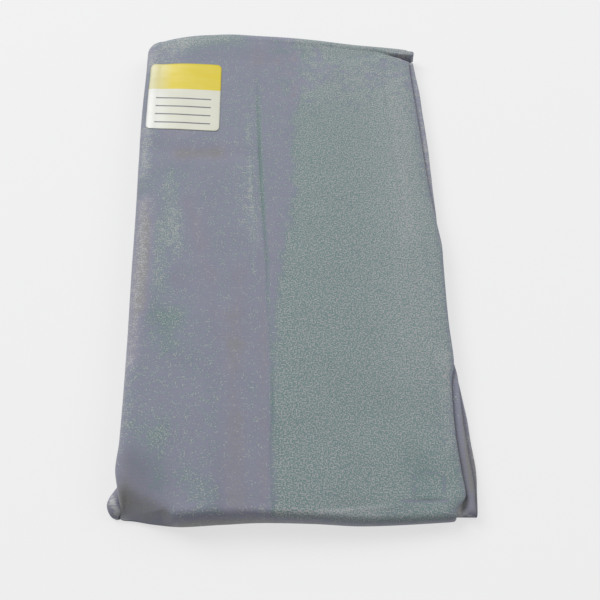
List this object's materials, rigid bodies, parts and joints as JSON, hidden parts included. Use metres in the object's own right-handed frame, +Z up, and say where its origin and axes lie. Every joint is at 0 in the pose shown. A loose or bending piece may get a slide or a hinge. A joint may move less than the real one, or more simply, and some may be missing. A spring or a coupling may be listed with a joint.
{
  "type": "folded leggings",
  "caption": "Plain ankle-length knit leggings folded into a flat pack, with a rounded spine, rolled cross folds, a layered open edge and a blank sticker.",
  "frame": {"origin": "on the surface the pack lies on, under the middle of its bounding box", "axes": "+Y along the pack from the near cross fold to the far one, +X from the rounded spine to the open layered edge, +Z up"},
  "size_m": [0.1872, 0.3048, 0.0219],
  "materials": {
    "knit_grey": "matte fine jersey",
    "sticker_paper": "coated, slightly glossy"
  },
  "bodies": {
    "root": {"cover_leg": "knit_grey", "under_leg": "knit_grey", "middle_fold": "knit_grey", "hidden_layers": "knit_grey", "size_sticker": "sticker_paper"}
  },
  "joints": []
}
